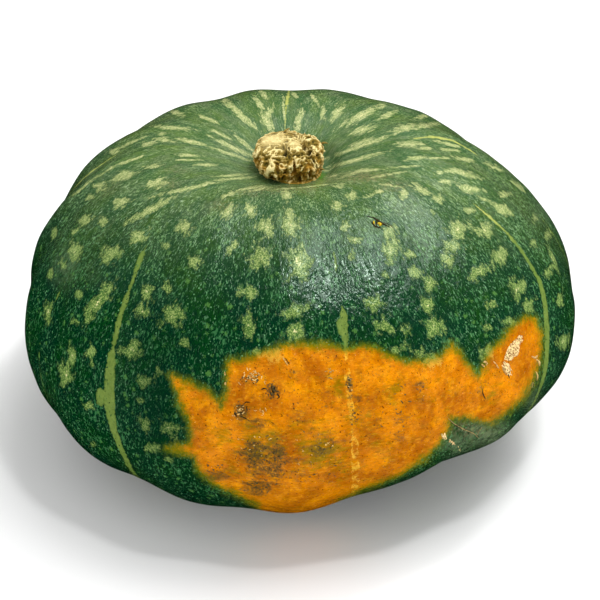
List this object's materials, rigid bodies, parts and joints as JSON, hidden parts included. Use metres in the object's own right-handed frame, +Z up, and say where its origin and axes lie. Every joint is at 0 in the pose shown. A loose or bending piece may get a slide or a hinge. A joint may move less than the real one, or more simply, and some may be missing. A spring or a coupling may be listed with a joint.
{
  "type": "kabocha squash",
  "caption": "Squat, shallowly ribbed winter squash with green speckled rind, an orange ground patch and a short corky stem stub in a sunken top.",
  "frame": {"origin": "on the ground, under the middle of the whole object's bounding box", "axes": "+Z up from the ground through the sunken top; -Y faces the viewer and the orange patch; +X is to the viewer's right"},
  "size_m": [0.1752, 0.1796, 0.0986],
  "materials": {
    "rind": "waxy, softly glossy vegetable rind, dark green with pale flecks and one orange patch",
    "cork": "dry, rough, corky stem"
  },
  "bodies": {
    "root": {"squash_fruit": "rind", "stem_stub": "cork"}
  },
  "joints": []
}
